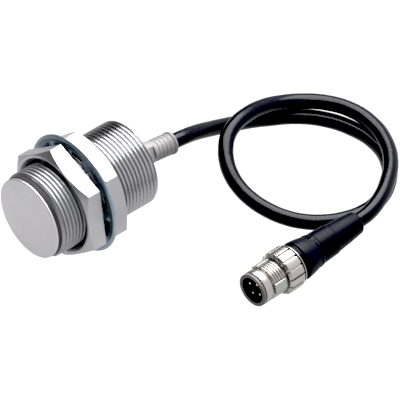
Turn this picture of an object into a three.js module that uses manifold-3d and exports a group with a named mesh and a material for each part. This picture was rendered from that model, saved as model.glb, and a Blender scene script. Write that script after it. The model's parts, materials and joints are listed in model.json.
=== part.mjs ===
// An M30 shielded inductive proximity sensor with a short moulded lead and an M12 plug.
// Millimetres, +Z up. The sensor's axis is the Y axis: its sensing face lies in the plane y = 0 and
// looks along -Y, and the lead leaves its rear end along +Y. It lies on a surface at z = -WASHER_R.
import * as THREE from "three";
import { mergeVertices } from "three/addons/utils/BufferGeometryUtils.js";
import Module from "manifold-3d";

const wasm = await Module();
wasm.setup();

// ---- driving dimensions ----
const GAP = 0.3; // clearance between pieces that touch
const BODY_LENGTH = 43;
const THREAD_R = 15; // M30 x 1.5
const THREAD_PITCH = 1.5;
const THREAD_DEPTH = 0.92;
const BORE_R = 13; // inside of the barrel
const FACE_R = 14.35;
const FACE_THICK = 1.5;

const NUT_FLATS = 36;
const NUT_THICK = 6.4;
const NUT_FRONT_Y = 10.3;
const NUT_REAR_Y = 20.2;
const NUT_CHAMFER_R = 17.8; // where the 30 degree chamfer leaves the flat face
const NUT_COUNTERSINK = 0.8; // on the flat side
const NUT_WIDE_COUNTERSINK = 1.9; // on the chamfered side
const NUT_FRONT_CORNER = 39; // direction of one corner, in degrees from +X towards +Z
const NUT_REAR_CORNER = 43.5;
const WASHER_R = 21;
const WASHER_ROOT_R = 18; // where the teeth begin
const WASHER_Y = 18.8;
const WASHER_THICK = 1.1;
const WASHER_TEETH = 12;
const TOOTH_TIP_R = 15.7;
const TOOTH_THICK = 0.8;
const TOOTH_WIDTH = 2.6;
const TOOTH_TWIST = 26;
const FIRST_TOOTH = 8;

const CABLE_R = 2.6;
const PROTECTOR_LENGTH = 17.9;
const PROTECTOR_TILT = 7.7; // degrees that the cable's weight bends it down
const PROTECTOR_Y = 43.2;

const PLUG_AT = [62.5, 41.7, -13.4]; // centre of the plug's open end
const PLUG_TURN = 3.46; // degrees from +Y towards -X
const PLUG_LENGTH = 47.7;
const PLUG_THREAD_R = 6; // M12 x 1
const PLUG_PITCH = 1;
const GRIP_R = 7.55;
const GRIP_FLUTES = 14;
const PIN_CIRCLE_R = 2.5;
const PIN_FIRST_ANGLE = 68;

// The free lead's centreline, from the cable protector's end to the plug's boot: it drops to the
// surface, makes one turn to the left, rises over itself and runs on along the top of its own turn.
const LEAD_ROUTE = [
  [0, 61.5, -2.5],
  [-0.2, 66.5, -3.3],
  [-1.1, 72.5, -5.4],
  [-2.1, 80.2, -8.8],
  [-2.5, 89.3, -12.5],
  [-2, 97, -15],
  [-0.4, 103.8, -16.9],
  [3.2, 111.7, -18.2],
  [9.8, 117.9, -18.4],
  [19.5, 122.2, -18.4],
  [30, 123.3, -18.4],
  [40, 120.2, -18.4],
  [48, 113.4, -18.4],
  [52.4, 104.9, -18.4],
  [53.3, 98, -18.4],
  [51.9, 91.3, -18.4],
  [48.5, 84.9, -18.4],
  [44, 80.2, -18.4],
  [38.5, 76.7, -18.2],
  [32.5, 74.2, -17.4],
  [26.5, 72.7, -16.1],
  [21, 72.2, -14.2],
  [16.4, 72.7, -12],
  [12.3, 74.4, -10.1],
  [8.8, 77, -8.3],
  [5.8, 80.6, -7],
  [3.5, 85.6, -6.5],
  [1.8, 92, -7.1],
  [0.6, 100, -9],
  [1, 107.5, -11.3],
  [3.9, 114.6, -12.7],
  [9.5, 120.2, -12.9],
  [17.5, 124, -12.9],
  [27, 124.7, -12.9],
  [36.5, 122.2, -12.9],
  [45, 117, -12.9],
  [52, 109.3, -12.9],
  [56.6, 101.7, -13],
  [58.9, 95.2, -13.3],
  [59.6, 89.7, -13.4],
];

// ---- materials ----
const finish = (color, roughness, metalness) =>
  new THREE.MeshStandardMaterial({ color, roughness, metalness });
const STEEL = () => finish(0xb4b3b8, 0.35, 1);
const FACE_STEEL = () => finish(0xc0bec1, 0.5, 0.8);
const NICKEL = () => finish(0xd0cbc7, 0.25, 1);
const ZINC = () => finish(0x8298ab, 0.35, 1);
const FERRITE = () => finish(0x2e2b2c, 0.7, 0);
const COPPER = () => finish(0xb36a3c, 0.35, 1);
const GOLD = () => finish(0xcfa95a, 0.3, 1);
const WHITE_PLASTIC = () => finish(0xd9d7cf, 0.5, 0);
const GREY_PLASTIC = () => finish(0x6b656a, 0.5, 0);
const SLEEVE_PLASTIC = () => finish(0x9b9aa0, 0.35, 0);
const BLACK_PLASTIC = () => finish(0x1c1b22, 0.45, 0);
const BLACK_VINYL = () => finish(0x0d0c14, 0.4, 0);
const RUBBER = () => finish(0x141414, 0.7, 0);
const BOARD_GREEN = () => finish(0x1f5a33, 0.5, 0);
const RESIN = () => finish(0x2b2a24, 0.4, 0);

// ---- shape helpers ----
const toRadians = THREE.MathUtils.degToRad;

// A closed geometry as a manifold-3d solid.
function solid(geometry) {
  const plain = geometry.index ? geometry.toNonIndexed() : geometry.clone();
  const positions = new THREE.BufferGeometry();
  positions.setAttribute("position", plain.getAttribute("position"));
  const merged = mergeVertices(positions, 1e-4);
  const mesh = new wasm.Mesh({
    numProp: 3,
    vertProperties: merged.attributes.position.array,
    triVerts: new Uint32Array(merged.index.array),
  });
  return new wasm.Manifold(mesh);
}

// A manifold-3d solid as a three.js geometry.
function geometryOf(shape) {
  const mesh = shape.getMesh();
  const positions = new Float32Array(mesh.numVert * 3);
  for (let i = 0; i < mesh.numVert; i++)
    for (let k = 0; k < 3; k++)
      positions[3 * i + k] = mesh.vertProperties[mesh.numProp * i + k];
  const geometry = new THREE.BufferGeometry();
  geometry.setAttribute("position", new THREE.BufferAttribute(positions, 3));
  geometry.setIndex(Array.from(mesh.triVerts));
  return geometry;
}

// A shape turned about the Y axis from a profile of [radius, y] pairs.
function lathe(profile, segments = 32) {
  const points = profile.map(([radius, y]) => new THREE.Vector2(radius, y));
  return new THREE.LatheGeometry(points, segments);
}

// A closed ring profile between two radii and two places along the axis.
function ring(inner, outer, from, to, segments = 32) {
  const profile = [
    [inner, from],
    [outer, from],
    [outer, to],
    [inner, to],
    [inner, from],
  ];
  return lathe(profile, segments);
}

function disc(radius, from, to, segments = 32) {
  return lathe([[0, from], [radius, from], [radius, to], [0, to]], segments);
}

// An outline in the XZ plane drawn out along Y.
function drawnAlongY(points, from, to) {
  const shape = new THREE.Shape(points);
  const geometry = new THREE.ExtrudeGeometry(shape, { depth: to - from, bevelEnabled: false });
  geometry.rotateX(Math.PI / 2);
  geometry.translate(0, to, 0);
  return geometry;
}

function box(from, to) {
  const size = to.map((value, k) => value - from[k]);
  const geometry = new THREE.BoxGeometry(...size);
  geometry.translate(...from.map((value, k) => value + size[k] / 2));
  return geometry;
}

// A round section drawn along a curve through points.
function tube(points, radius, steps, sides) {
  const stations = points.map((point) => new THREE.Vector3(...point));
  const curve = new THREE.CatmullRomCurve3(stations, false, "centripetal");
  const outline = polar(sides, radius).map(([u, v]) => new THREE.Vector2(u, v));
  return new THREE.ExtrudeGeometry(new THREE.Shape(outline), {
    steps,
    extrudePath: curve,
    bevelEnabled: false,
  });
}

// count points on a circle, starting at an angle in degrees.
function polar(count, radius, first = 0) {
  return Array.from({ length: count }, (_, k) => {
    const angle = toRadians(first) + (2 * Math.PI * k) / count;
    return [radius * Math.cos(angle), radius * Math.sin(angle)];
  });
}

// Zigzag of thread crests and roots between two places along the axis, as [radius, y] pairs.
function threadProfile(crest, depth, pitch, from, to) {
  const turns = Math.floor((to - from) / pitch);
  const profile = [[crest - depth, from]];
  for (let k = 0; k < turns; k++) {
    profile.push([crest, from + (k + 0.5) * pitch]);
    profile.push([crest - depth, from + (k + 1) * pitch]);
  }
  return profile;
}

// ---- the group that everything hangs in ----
const sensor = new THREE.Group();

function add(name, geometry, material, parent = sensor) {
  const mesh = new THREE.Mesh(geometry, material);
  mesh.name = name;
  parent.add(mesh);
  return mesh;
}

// ---- the sensing end ----

// Stainless cup: a thin front wall with a rounded rim, and a skirt that goes into the barrel.
function sensingFace() {
  const rim = 0.8;
  const wall = 0.9;
  const skirtR = BORE_R - GAP;
  const skirtWall = 0.8;
  const skirtEnd = 7.5;
  return lathe(
    [
      [0, 0],
      [FACE_R - rim, 0],
      [FACE_R - 0.3 * rim, 0.3 * rim],
      [FACE_R, rim],
      [FACE_R, FACE_THICK],
      [skirtR, FACE_THICK],
      [skirtR, skirtEnd],
      [skirtR - skirtWall, skirtEnd],
      [skirtR - skirtWall, wall],
      [0, wall],
    ],
    32,
  );
}

// The M30 thread is a run of rings between a front chamfer and a rear chamfer.
function threadedBarrel() {
  const front = FACE_THICK + GAP;
  const root = THREAD_R - THREAD_DEPTH;
  const profile = [
    [BORE_R, front],
    [root, front],
    ...threadProfile(THREAD_R, THREAD_DEPTH, THREAD_PITCH, front + 0.4, BODY_LENGTH - 0.4),
    [root, BODY_LENGTH],
    [BORE_R, BODY_LENGTH],
    [BORE_R, front],
  ];
  return lathe(profile, 24);
}

const CASE_R = 11.6;
const CASE_FRONT = 1.2;
const CORE_FRONT = 2;
const CORE_REAR = 9;
const CORE_R = 10.7;
const WINDING_FLOOR = 7.5;
const FLANGE_R = 8.6;
const BOBBIN_HUB_R = 5.1;
const BOBBIN_REAR = WINDING_FLOOR - GAP;
const BOBBIN_WALL = 0.6;
const BOBBIN_PIN_R = 0.5;
const BOBBIN_PIN_X = 6.5;
const BOBBIN_PIN_Z = 1.3;
const BOBBIN_PIN_END = 13.5;

// Insulating cup round the pot core.
function coilCase() {
  const wall = 0.5;
  const end = 12;
  return lathe(
    [
      [0, CASE_FRONT],
      [CASE_R, CASE_FRONT],
      [CASE_R, end],
      [CASE_R - wall, end],
      [CASE_R - wall, CASE_FRONT + wall],
      [0, CASE_FRONT + wall],
    ],
    24,
  );
}

// Pot core, open towards the face, with a hole for each bobbin pin.
function ferriteCore() {
  const postR = 4.2;
  const postHoleR = 1.2;
  const wallR = 8.9;
  const pot = lathe(
    [
      [postHoleR, CORE_FRONT],
      [postR, CORE_FRONT],
      [postR, WINDING_FLOOR],
      [wallR, WINDING_FLOOR],
      [wallR, CORE_FRONT],
      [CORE_R, CORE_FRONT],
      [CORE_R, CORE_REAR],
      [postHoleR, CORE_REAR],
      [postHoleR, CORE_FRONT],
    ],
    24,
  );
  let core = solid(pot);
  for (const side of [-1, 1]) {
    const hole = disc(BOBBIN_PIN_R + 0.4, WINDING_FLOOR - 1, CORE_REAR + 1, 12);
    hole.translate(side * BOBBIN_PIN_X, 0, BOBBIN_PIN_Z);
    core = core.subtract(solid(hole));
  }
  return geometryOf(core);
}

function coilBobbin() {
  const inner = 4.5;
  return lathe(
    [
      [inner, CORE_FRONT],
      [FLANGE_R, CORE_FRONT],
      [FLANGE_R, CORE_FRONT + BOBBIN_WALL],
      [BOBBIN_HUB_R, CORE_FRONT + BOBBIN_WALL],
      [BOBBIN_HUB_R, BOBBIN_REAR - BOBBIN_WALL],
      [FLANGE_R, BOBBIN_REAR - BOBBIN_WALL],
      [FLANGE_R, BOBBIN_REAR],
      [inner, BOBBIN_REAR],
      [inner, CORE_FRONT],
    ],
    20,
  );
}

// The winding fills the bobbin between its flanges.
function sensingCoil() {
  const from = CORE_FRONT + BOBBIN_WALL + GAP;
  const to = BOBBIN_REAR - BOBBIN_WALL - GAP;
  return ring(BOBBIN_HUB_R + GAP, FLANGE_R - GAP, from, to, 20);
}

add("sensing_face", sensingFace(), FACE_STEEL());
add("threaded_barrel", threadedBarrel(), STEEL());
add("coil_case", coilCase(), WHITE_PLASTIC());
add("ferrite_core", ferriteCore(), FERRITE());
add("coil_bobbin", coilBobbin(), WHITE_PLASTIC());
add("sensing_coil", sensingCoil(), COPPER());
[-1, 1].forEach((side, k) => {
  const pin = disc(BOBBIN_PIN_R, WINDING_FLOOR, BOBBIN_PIN_END, 8);
  pin.translate(side * BOBBIN_PIN_X, 0, BOBBIN_PIN_Z);
  add(`bobbin_pin_${k + 1}`, pin, GOLD());
});

// ---- the circuit ----
const BOARD_HALF_WIDTH = 9.5;
const BOARD_TOP = 0.5;
const BOARD_FROM = 10;
const BOARD_END = 31.5;
const SEAT = BOARD_TOP + GAP; // where the board's parts stand
const BOARD_LOW = [-BOARD_HALF_WIDTH, BOARD_FROM, -BOARD_TOP];
const BOARD_HIGH = [BOARD_HALF_WIDTH, BOARD_END, BOARD_TOP];

// A chip part lying on the board: its centre in x and y, its width, length and height.
function chip(x, y, width, length, height) {
  return box([x - width / 2, y - length / 2, SEAT], [x + width / 2, y + length / 2, SEAT + height]);
}

add("circuit_board", box(BOARD_LOW, BOARD_HIGH), BOARD_GREEN());
add("oscillator_ic", chip(0, 18, 6, 5, 1.6), BLACK_PLASTIC());
add("output_transistor", chip(6.2, 24, 4.5, 6, 2.2), BLACK_PLASTIC());
add("surge_diode", chip(-6, 25, 2.6, 4.3, 2.2), BLACK_PLASTIC());
add("chip_capacitor_1", chip(-6.5, 17.5, 1.6, 3.2, 1.2), WHITE_PLASTIC());
add("chip_capacitor_2", chip(6.5, 17.5, 1.6, 3.2, 1.2), WHITE_PLASTIC());
add("chip_resistor_1", chip(-1.8, 23, 1.25, 2, 0.6), BLACK_PLASTIC());
add("chip_resistor_2", chip(1.2, 23, 1.25, 2, 0.6), BLACK_PLASTIC());
add("indicator_led", chip(6.5, 29.5, 2, 3, 1.5), finish(0xe08020, 0.3, 0));

// ---- the rear end ----
const CONDUCTOR_R = 0.6;
const CONDUCTOR_END = 39.5;
const SOLDERED_LENGTH = 5;
const CONDUCTORS = [
  { name: "conductor_brown", x: -2.6, inResin: [-1.2, -0.7], color: 0x6b4226 },
  { name: "conductor_blue", x: 0, inResin: [0, 1.35], color: 0x2a4fa0 },
  { name: "conductor_black", x: 2.6, inResin: [1.2, -0.7], color: 0x151515 },
];
const RESIN_FROM = 34.6;
const RESIN_TO = 38;
const CAP_FROM = 38.4;
const CAP_TO = 42.3;
const CAP_R = BORE_R - GAP;
const SEAL_Y = 40.4;
const SEAL_MIDDLE_R = 12.05;
const SEAL_THICK_R = 0.65;
const CLAMP_R = 4.2;

// Each conductor runs straight out of the cable's end, through the resin, and bends to its pad.
for (const { name, x, inResin, color } of CONDUCTORS) {
  const [u, v] = inResin;
  const onBoard = SEAT + CONDUCTOR_R;
  const route = [
    [x, BOARD_END - SOLDERED_LENGTH, onBoard],
    [x, BOARD_END, onBoard],
    [(x + u) / 2, (BOARD_END + RESIN_FROM) / 2, (onBoard + v) / 2 + 0.2],
    [u, RESIN_FROM, v],
    [u, RESIN_TO, v],
    [u, CONDUCTOR_END, v],
  ];
  add(name, tube(route, CONDUCTOR_R, 10, 8), finish(color, 0.5, 0));
}

function resinResin() {
  let plug = solid(disc(CAP_R, RESIN_FROM, RESIN_TO, 24));
  for (const { inResin } of CONDUCTORS) {
    const hole = disc(CONDUCTOR_R + 0.4, RESIN_FROM - 1, RESIN_TO + 1, 12);
    hole.translate(inResin[0], 0, inResin[1]);
    plug = plug.subtract(solid(hole));
  }
  return geometryOf(plug);
}

// The cap that closes the barrel, with a groove for its seal.
function rearCap() {
  const grooveR = 11.1;
  const grooveFrom = SEAL_Y - 1;
  const grooveTo = SEAL_Y + 1;
  const bore = CLAMP_R + GAP;
  return lathe(
    [
      [bore, CAP_FROM],
      [CAP_R, CAP_FROM],
      [CAP_R, grooveFrom],
      [grooveR, grooveFrom],
      [grooveR, grooveTo],
      [CAP_R, grooveTo],
      [CAP_R, CAP_TO],
      [bore, CAP_TO],
      [bore, CAP_FROM],
    ],
    24,
  );
}

function sealRing() {
  const section = polar(6, SEAL_THICK_R).map(([u, v]) => [SEAL_MIDDLE_R + u, SEAL_Y + v]);
  section.push(section[0]);
  return lathe(section, 24);
}

// A split ring that grips the cable's jacket.
function cableClamp() {
  const halfSlot = 0.6;
  const whole = solid(ring(CABLE_R + GAP, CLAMP_R, CAP_FROM + 0.2, CAP_TO - 0.2, 20));
  const slot = solid(box([-halfSlot, CAP_FROM - 1, -CLAMP_R - 1], [halfSlot, CAP_TO + 1, 0]));
  return geometryOf(whole.subtract(slot));
}

add("potting_plug", resinResin(), RESIN());
add("rear_cap", rearCap(), BLACK_PLASTIC());
add("cap_seal_ring", sealRing(), RUBBER());
add("cable_clamp", cableClamp(), NICKEL());

// ---- nuts and washer ----

// A hexagon nut between two places along the axis, with a 30 degree chamfer on one side.
function clampingNut(from, firstCorner, chamferInFront) {
  const to = from + NUT_THICK;
  const cornerR = NUT_FLATS / 2 / Math.cos(Math.PI / 6);
  const beyond = cornerR + 0.5;
  const drop = (beyond - NUT_CHAMFER_R) * Math.tan(Math.PI / 6);
  const bore = THREAD_R + GAP;
  const corners = polar(6, cornerR, firstCorner).map(([x, z]) => new THREE.Vector2(x, z));
  const hexagon = solid(drawnAlongY(corners, from, to));
  const cone = chamferInFront
    ? [[0, from], [NUT_CHAMFER_R, from], [beyond, from + drop], [beyond, to + 1], [0, to + 1]]
    : [[0, from - 1], [beyond, from - 1], [beyond, to - drop], [NUT_CHAMFER_R, to], [0, to]];
  const frontSink = chamferInFront ? NUT_WIDE_COUNTERSINK : NUT_COUNTERSINK;
  const rearSink = chamferInFront ? NUT_COUNTERSINK : NUT_WIDE_COUNTERSINK;
  const hole = [
    [0, from - 1],
    [bore + frontSink + 1, from - 1],
    [bore, from + frontSink],
    [bore, to - rearSink],
    [bore + rearSink + 1, to + 1],
    [0, to + 1],
  ];
  return geometryOf(hexagon.intersect(solid(lathe(cone, 36))).subtract(solid(lathe(hole, 28))));
}

// Flat ring with teeth on its inside, each twisted about its own radius.
function toothedWasher() {
  const bevel = 0.4;
  const front = WASHER_Y;
  const rear = WASHER_Y + WASHER_THICK;
  const profile = [
    [WASHER_ROOT_R, front],
    [WASHER_R - bevel, front],
    [WASHER_R, front + bevel],
    [WASHER_R, rear],
    [WASHER_ROOT_R, rear],
    [WASHER_ROOT_R, front],
  ];
  let washer = solid(lathe(profile, 36));
  const toothEnd = WASHER_ROOT_R + 0.5;
  for (let k = 0; k < WASHER_TEETH; k++) {
    const tooth = new THREE.BoxGeometry(toothEnd - TOOTH_TIP_R, TOOTH_THICK, TOOTH_WIDTH);
    tooth.rotateX(toRadians(TOOTH_TWIST));
    tooth.translate((TOOTH_TIP_R + toothEnd) / 2, WASHER_Y + 0.05, 0);
    tooth.rotateY(-toRadians(FIRST_TOOTH + (360 / WASHER_TEETH) * k));
    washer = washer.add(solid(tooth));
  }
  return geometryOf(washer);
}

add("clamping_nut_front", clampingNut(NUT_FRONT_Y, NUT_FRONT_CORNER, true), NICKEL());
add("clamping_nut_rear", clampingNut(NUT_REAR_Y, NUT_REAR_CORNER, false), NICKEL());
add("toothed_washer", toothedWasher(), ZINC());

// ---- the cable and its protector ----

// Ribbed sleeve, with a slot cut in one side near the barrel.
function cableProtector() {
  const bore = CABLE_R + 0.35;
  const sleeveR = 3.45;
  const ribR = 3.8;
  const endR = 3.9;
  const ribs = 5;
  const firstRib = 4.4;
  const ribStep = 2.3;
  const ribWidth = 1.3;
  const collarLength = 2.1;
  const endLength = 1.4;
  const profile = [
    [bore, 0],
    [ribR, 0],
    [ribR, collarLength],
    [sleeveR, collarLength],
  ];
  for (let k = 0; k < ribs; k++) {
    const at = firstRib + k * ribStep;
    profile.push([sleeveR, at]);
    profile.push([ribR, at]);
    profile.push([ribR, at + ribWidth]);
    profile.push([sleeveR, at + ribWidth]);
  }
  profile.push([sleeveR, PROTECTOR_LENGTH - endLength]);
  profile.push([endR, PROTECTOR_LENGTH - endLength]);
  profile.push([endR, PROTECTOR_LENGTH]);
  profile.push([bore, PROTECTOR_LENGTH]);
  profile.push([bore, 0]);
  const slot = solid(box([2, 0.4, -1.6], [6, 1.7, 1.6]));
  return geometryOf(solid(lathe(profile, 16)).subtract(slot));
}

const protectorMount = new THREE.Group();
protectorMount.position.set(0, PROTECTOR_Y, 0);
protectorMount.rotation.x = -toRadians(PROTECTOR_TILT);
sensor.add(protectorMount);
add("cable_protector", cableProtector(), SLEEVE_PLASTIC(), protectorMount);

// The stretch of cable that the clamp and the protector hold.
const protectorEnd = new THREE.Vector3(0, PROTECTOR_LENGTH, 0);
protectorMount.updateMatrixWorld(true);
protectorMount.localToWorld(protectorEnd);
const gripped = [
  [0, CONDUCTOR_END + GAP, 0],
  [0, CAP_TO, 0],
  [0, PROTECTOR_Y + 1, -0.1],
  [0, protectorEnd.y, protectorEnd.z],
];
add("cable_gripped_end", tube(gripped, CABLE_R, 8, 12), BLACK_VINYL());
add("cable", tube(LEAD_ROUTE, CABLE_R, 44, 12), BLACK_VINYL());

// ---- the plug, along its own +Y from its open end ----
const plug = new THREE.Group();
plug.position.set(...PLUG_AT);
plug.rotation.z = toRadians(PLUG_TURN);
sensor.add(plug);

const CARRIER_R = 4.95;
const CAVITY_R = 4.6;
const CAVITY_FLOOR = 7.5;
const PIN_R = 0.5;
const SLEEVE_FROM = 1.3;
const THREAD_FROM = 4.6;
const THREAD_TO = 10.6;
const GRIP_FROM = 10.8;
const GRIP_TO = 17.3;
const SHELL_FROM = 18.4;
const SHELL_TO = 28.3;
const LUG_ANGLES = [12, 132, 252];
const LUG_R = 6.25;
const LUG_HALF_WIDTH = 1.7;
const PLUG_THREAD_DEPTH = 0.55;
const MOULD_R = 4.6;

// The insulating insert: its rim stands out of the sleeve, a key runs down its wall, and the pins
// stand in its cavity.
function contactCarrier() {
  const rimR = 5.85;
  const carrier = lathe(
    [
      [0, CAVITY_FLOOR],
      [CAVITY_R, CAVITY_FLOOR],
      [CAVITY_R, 0],
      [rimR, 0],
      [rimR, SLEEVE_FROM - GAP],
      [CARRIER_R, SLEEVE_FROM - GAP],
      [CARRIER_R, GRIP_TO],
      [0, GRIP_TO],
    ],
    20,
  );
  const key = box([CAVITY_R - 0.7, 0.8, -0.5], [CAVITY_R + 0.15, CAVITY_FLOOR + 0.5, 0.5]);
  key.rotateY(-toRadians(PIN_FIRST_ANGLE + 135));
  let result = solid(carrier).add(solid(key));
  for (const [x, z] of polar(4, PIN_CIRCLE_R, PIN_FIRST_ANGLE)) {
    const hole = disc(PIN_R + GAP, CAVITY_FLOOR - 1, GRIP_TO + 1, 10);
    hole.translate(x, 0, z);
    result = result.subtract(solid(hole));
  }
  return geometryOf(result);
}

// A round pin with a chamfered tip.
function contactPin() {
  const tip = 1.5;
  const end = GRIP_TO - GAP;
  return lathe([[0, tip], [0.6 * PIN_R, tip], [PIN_R, tip + 0.5], [PIN_R, end], [0, end]], 8);
}

// The turning sleeve: a plain collar, the M12 thread with three smooth lugs across it, and the
// seat of the grip ring.
function couplingSleeve() {
  const inner = CARRIER_R + GAP;
  const root = PLUG_THREAD_R - PLUG_THREAD_DEPTH;
  const collarR = PLUG_THREAD_R - 0.05;
  const profile = [
    [inner, SLEEVE_FROM],
    [collarR, SLEEVE_FROM],
    [collarR, THREAD_FROM],
    ...threadProfile(PLUG_THREAD_R, PLUG_THREAD_DEPTH, PLUG_PITCH, THREAD_FROM, THREAD_TO),
    [root, GRIP_FROM],
    [PLUG_THREAD_R, GRIP_FROM],
    [PLUG_THREAD_R, GRIP_TO - 0.3],
    [inner, GRIP_TO - 0.3],
    [inner, SLEEVE_FROM],
  ];
  let sleeve = solid(lathe(profile, 20));
  for (const angle of LUG_ANGLES) {
    const lug = box([root, THREAD_FROM + 0.4, -LUG_HALF_WIDTH], [LUG_R, THREAD_TO - 0.5, LUG_HALF_WIDTH]);
    lug.rotateY(-toRadians(angle));
    sleeve = sleeve.add(solid(lug));
  }
  return geometryOf(sleeve);
}

// Fluted ring with a chamfer at each end: flat facets with a groove between each two.
function gripRing() {
  const grooveR = GRIP_R - 0.45;
  const facet = [[0, grooveR], [0.12, GRIP_R], [0.88, GRIP_R]]; // share of a flute, radius
  const outline = [];
  for (let k = 0; k < GRIP_FLUTES; k++) {
    for (const [share, radius] of facet) {
      const angle = (2 * Math.PI * (k + share)) / GRIP_FLUTES;
      outline.push(new THREE.Vector2(radius * Math.cos(angle), radius * Math.sin(angle)));
    }
  }
  const chamfer = [
    [0, GRIP_FROM],
    [GRIP_R - 0.7, GRIP_FROM],
    [GRIP_R + 0.1, GRIP_FROM + 0.8],
    [GRIP_R + 0.1, GRIP_TO - 0.5],
    [GRIP_R - 0.4, GRIP_TO],
    [0, GRIP_TO],
  ];
  const bore = disc(PLUG_THREAD_R + GAP, GRIP_FROM - 1, GRIP_TO + 1, 20);
  const fluted = solid(drawnAlongY(outline, GRIP_FROM, GRIP_TO));
  return geometryOf(fluted.intersect(solid(lathe(chamfer, 42))).subtract(solid(bore)));
}

// Waisted collar that swells behind the grip ring, narrows, and ends in a small rim. A notch cut
// into the rim's top shows which way the key is.
function plugShell() {
  const inner = MOULD_R + GAP;
  const shell = lathe(
    [
      [inner, SHELL_FROM],
      [6.6, SHELL_FROM],
      [6.8, SHELL_FROM + 1.6],
      [6.6, SHELL_FROM + 4],
      [5.7, SHELL_TO - 1.6],
      [5.9, SHELL_TO - 1.2],
      [5.6, SHELL_TO],
      [inner, SHELL_TO],
      [inner, SHELL_FROM],
    ],
    20,
  );
  const notch = box([-1.1, SHELL_TO - 2.6, 5.3], [1.1, SHELL_TO + 1, GRIP_R]);
  return geometryOf(solid(shell).subtract(solid(notch)));
}

// The tapered boot has one small step and a chamfered end.
function plugBoot() {
  const stepAt = 35.3;
  const profile = [
    [0, SHELL_TO + GAP],
    [5.5, SHELL_TO + GAP],
    [5.25, stepAt],
    [4.95, stepAt + 0.4],
    [4.5, 42],
    [3.85, PLUG_LENGTH - 0.8],
    [3.4, PLUG_LENGTH],
    [0, PLUG_LENGTH],
  ];
  return lathe(profile, 20);
}

add("contact_carrier", contactCarrier(), GREY_PLASTIC(), plug);
polar(4, PIN_CIRCLE_R, PIN_FIRST_ANGLE).forEach(([x, z], k) => {
  const pin = add(`contact_pin_${k + 1}`, contactPin(), GOLD(), plug);
  pin.position.set(x, 0, z);
});
add("coupling_sleeve", couplingSleeve(), NICKEL(), plug);
add("grip_ring", gripRing(), NICKEL(), plug);
add("retaining_ring", ring(MOULD_R + 0.5, 7.1, GRIP_TO + GAP, GRIP_TO + 0.8, 20), NICKEL(), plug);
add("plug_inner_mould", disc(MOULD_R, GRIP_TO + GAP, SHELL_TO, 20), BLACK_PLASTIC(), plug);
add("plug_shell", plugShell(), BLACK_PLASTIC(), plug);
add("plug_boot", plugBoot(), BLACK_VINYL(), plug);

export default sensor;
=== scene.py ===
import json
import math

import bmesh
import bpy
import numpy as np
from mathutils import Matrix, Vector


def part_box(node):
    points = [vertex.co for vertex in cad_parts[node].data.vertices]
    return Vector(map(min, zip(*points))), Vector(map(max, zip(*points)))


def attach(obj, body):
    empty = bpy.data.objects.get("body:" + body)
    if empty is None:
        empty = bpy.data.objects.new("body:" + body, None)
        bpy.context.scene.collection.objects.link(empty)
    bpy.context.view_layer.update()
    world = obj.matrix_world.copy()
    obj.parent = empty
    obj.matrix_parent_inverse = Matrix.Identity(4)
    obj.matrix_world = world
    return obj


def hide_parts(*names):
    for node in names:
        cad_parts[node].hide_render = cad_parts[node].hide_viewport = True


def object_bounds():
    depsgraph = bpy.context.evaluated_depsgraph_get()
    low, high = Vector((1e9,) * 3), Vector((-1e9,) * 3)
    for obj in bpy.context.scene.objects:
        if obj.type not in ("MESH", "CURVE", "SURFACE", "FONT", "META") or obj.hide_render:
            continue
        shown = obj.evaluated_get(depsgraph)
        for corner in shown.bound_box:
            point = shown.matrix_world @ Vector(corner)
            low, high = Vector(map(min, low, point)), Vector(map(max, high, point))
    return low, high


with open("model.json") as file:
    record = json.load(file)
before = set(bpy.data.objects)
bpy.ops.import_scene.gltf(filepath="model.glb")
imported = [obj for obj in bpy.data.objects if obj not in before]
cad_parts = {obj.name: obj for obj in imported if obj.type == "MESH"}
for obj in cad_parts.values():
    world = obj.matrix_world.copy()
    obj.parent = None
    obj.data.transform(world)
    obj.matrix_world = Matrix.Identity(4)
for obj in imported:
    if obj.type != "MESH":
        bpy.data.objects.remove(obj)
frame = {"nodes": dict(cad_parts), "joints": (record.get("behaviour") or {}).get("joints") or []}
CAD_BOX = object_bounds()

MM = 0.001
FULL_TURN = 2 * math.pi

# ---- driving dimensions, in millimetres and degrees ----
GAP = 0.3  # clearance between fitted parts

BODY_LENGTH = 43.0
THREAD_R = 15.0
THREAD_PITCH = 1.5
THREAD_DEPTH = 0.6
THREAD_FRONT = 2.3
BORE_R = 13.0
FACE_R = 14.35

NUT_FLATS = 36.0
NUT_CHAMFER_R = 17.8
NUT_BORE_R = 15.15
NUT_FRONT_CORNER = 39.0
NUT_REAR_CORNER = 43.5

WASHER_R = 21.0
WASHER_ROOT_R = 18.0
WASHER_TIP_R = 15.7
WASHER_TEETH = 12
WASHER_FIRST_TOOTH = 8.0
WASHER_TWIST = 26.0

CABLE_R = 2.6
PROTECTOR_LENGTH = 17.9
PROTECTOR_TILT = 7.7
PROTECTOR_Y = 43.2

PLUG_LENGTH = 47.7
PLUG_THREAD_R = 6.0
PLUG_THREAD_DEPTH = 0.42
PLUG_PITCH = 1.0
GRIP_R = 7.55
GRIP_FLUTES = 14
GRIP_FIRST_GROOVE = 14.5
PIN_CIRCLE_R = 2.5
PIN_FIRST_ANGLE = 68.0
LUG_ANGLES = (12.0, 132.0, 252.0)


# ---- the camera ----
VIEW_AZIMUTH = math.radians(49.1)
VIEW_ELEVATION = math.radians(41.8)
VIEW_AIM = Vector((0.0117, 0.0634, CAD_BOX[0].z))
VIEW_WIDTH = 0.1307
LENS = 1500.0  # mm


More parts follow.
